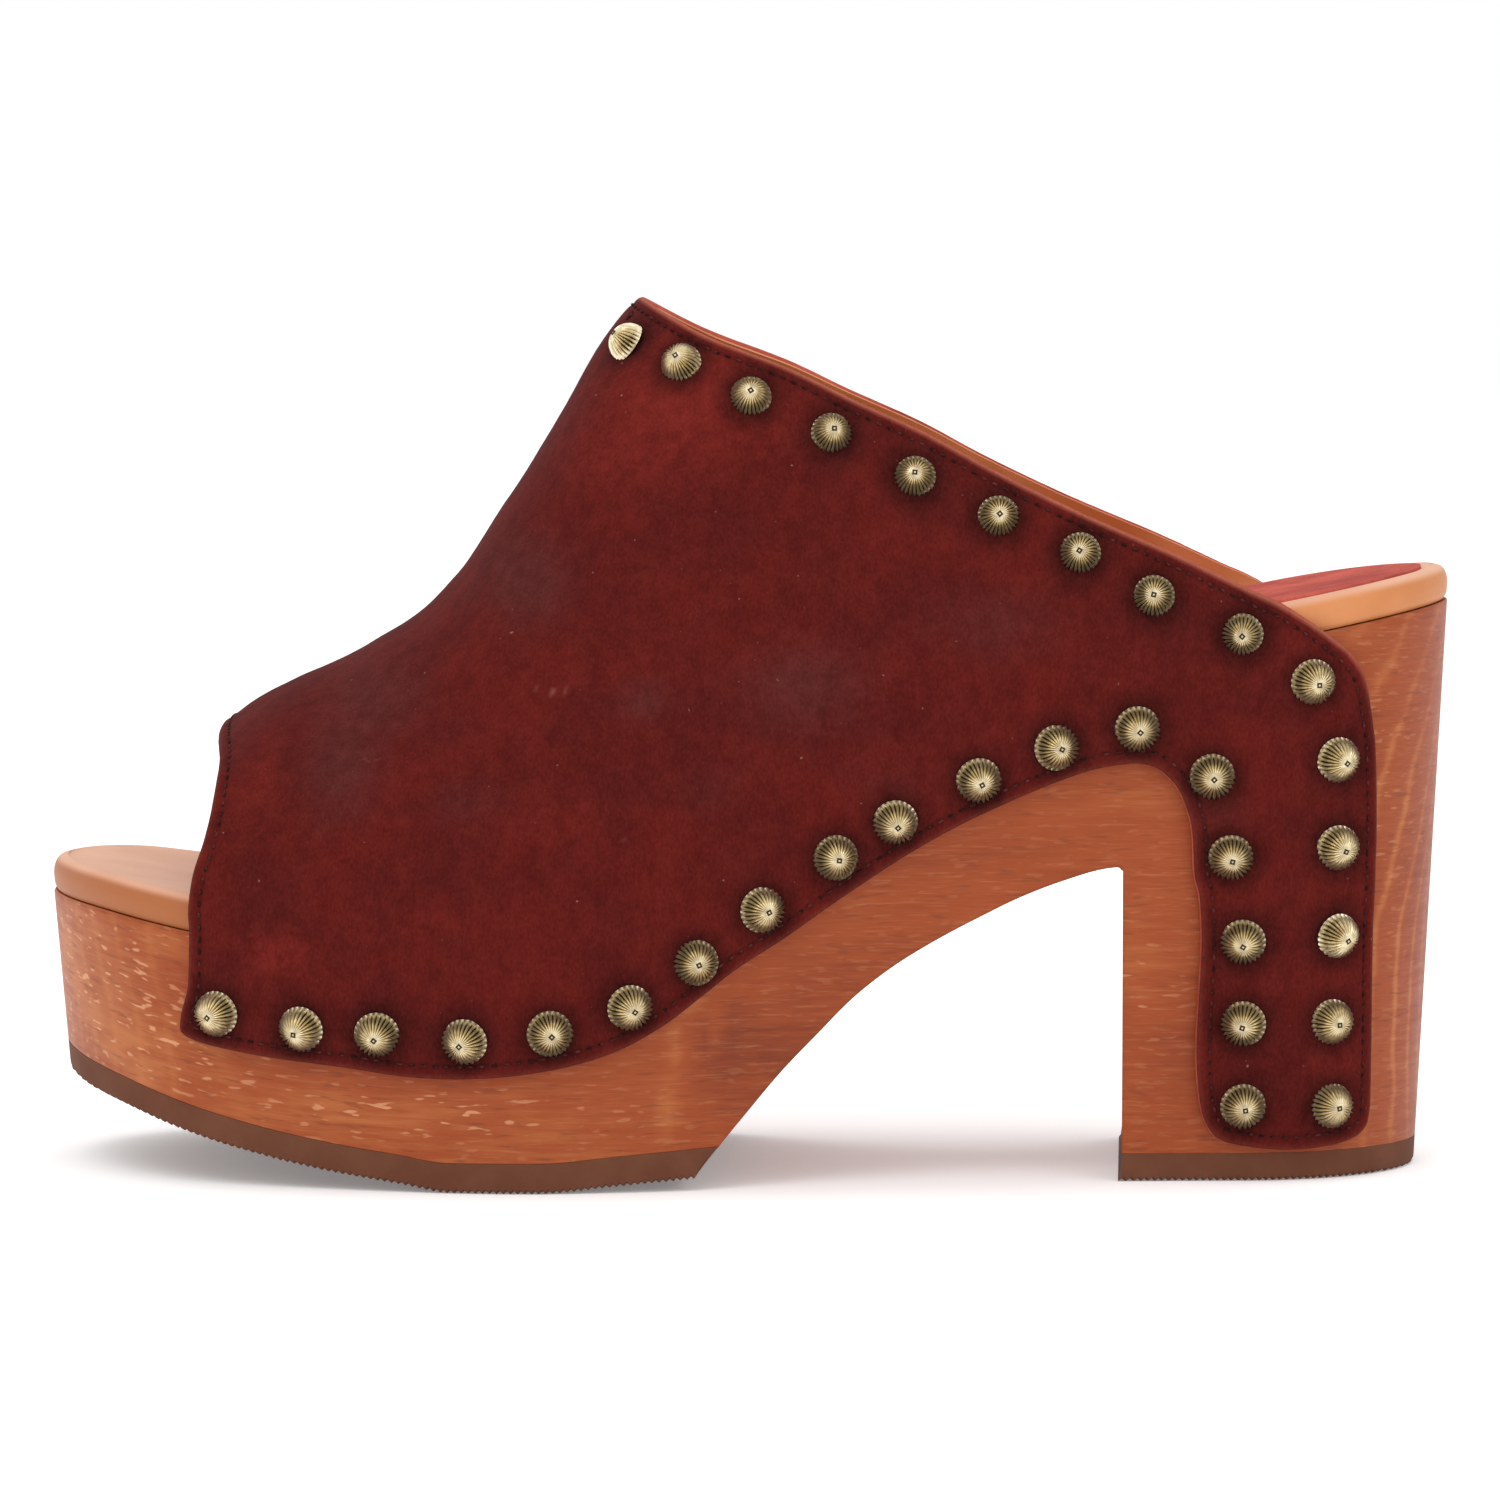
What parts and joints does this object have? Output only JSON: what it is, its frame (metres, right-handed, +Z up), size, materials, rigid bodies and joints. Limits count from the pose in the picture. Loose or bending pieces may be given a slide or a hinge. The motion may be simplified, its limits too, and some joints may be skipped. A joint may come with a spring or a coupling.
{
  "type": "wooden sandal",
  "caption": "Left wooden sandal: high carved wood sole with block heel, hollow studded suede upper open at the toe and heel, padded footbed and rubber treads.",
  "frame": {"origin": "On the floor under the middle of the sandal's length and width, midway between the toe's tip and the heel's back.", "axes": "+X points to the heel and -X to the toe. +Y points to the inner side of the foot and -Y to the outer side. +Z points up from the floor that the heel and the ball stand on."},
  "size_m": [0.2338, 0.1023, 0.145],
  "materials": {
    "alder_wood": "satin clear varnish over warm red-brown alder, fine grain along the sole",
    "brown_rubber": "matt, fine cross ribs underneath",
    "tan_leather": "smooth satin leather over soft padding",
    "rose_suede": "matt suede",
    "oxblood_suede": "matt mottled suede, smooth tan lining",
    "antique_brass": "aged satin brass with fluted domes"
  },
  "bodies": {
    "root": {"wood_sole": "alder_wood", "forefoot_outsole": "brown_rubber", "heel_lift": "brown_rubber", "footbed": "tan_leather", "heel_pad": "rose_suede", "upper": "oxblood_suede", "stud_outer_01": "antique_brass", "stud_outer_02": "antique_brass", "stud_outer_03": "antique_brass", "stud_outer_04": "antique_brass", "stud_outer_05": "antique_brass", "stud_outer_06": "antique_brass", "stud_outer_07": "antique_brass", "stud_outer_08": "antique_brass", "stud_outer_09": "antique_brass", "stud_outer_10": "antique_brass", "stud_outer_11": "antique_brass", "stud_outer_12": "antique_brass", "stud_outer_13": "antique_brass", "stud_outer_14": "antique_brass", "stud_outer_15": "antique_brass", "stud_outer_16": "antique_brass", "stud_outer_17": "antique_brass", "stud_outer_18": "antique_brass", "stud_outer_19": "antique_brass", "stud_outer_20": "antique_brass", "stud_outer_21": "antique_brass", "stud_outer_22": "antique_brass", "stud_outer_23": "antique_brass", "stud_outer_24": "antique_brass", "stud_inner_01": "antique_brass", "stud_inner_02": "antique_brass", "stud_inner_03": "antique_brass", "stud_inner_04": "antique_brass", "stud_inner_05": "antique_brass", "stud_inner_06": "antique_brass", "stud_inner_07": "antique_brass", "stud_inner_08": "antique_brass", "stud_inner_09": "antique_brass", "stud_inner_10": "antique_brass", "stud_inner_11": "antique_brass", "stud_inner_12": "antique_brass", "stud_inner_13": "antique_brass", "stud_inner_14": "antique_brass", "stud_inner_15": "antique_brass", "stud_inner_16": "antique_brass", "stud_inner_17": "antique_brass", "stud_inner_18": "antique_brass", "stud_inner_19": "antique_brass", "stud_inner_20": "antique_brass", "stud_inner_21": "antique_brass", "stud_inner_22": "antique_brass", "stud_inner_23": "antique_brass", "stud_inner_24": "antique_brass"}
  },
  "joints": []
}
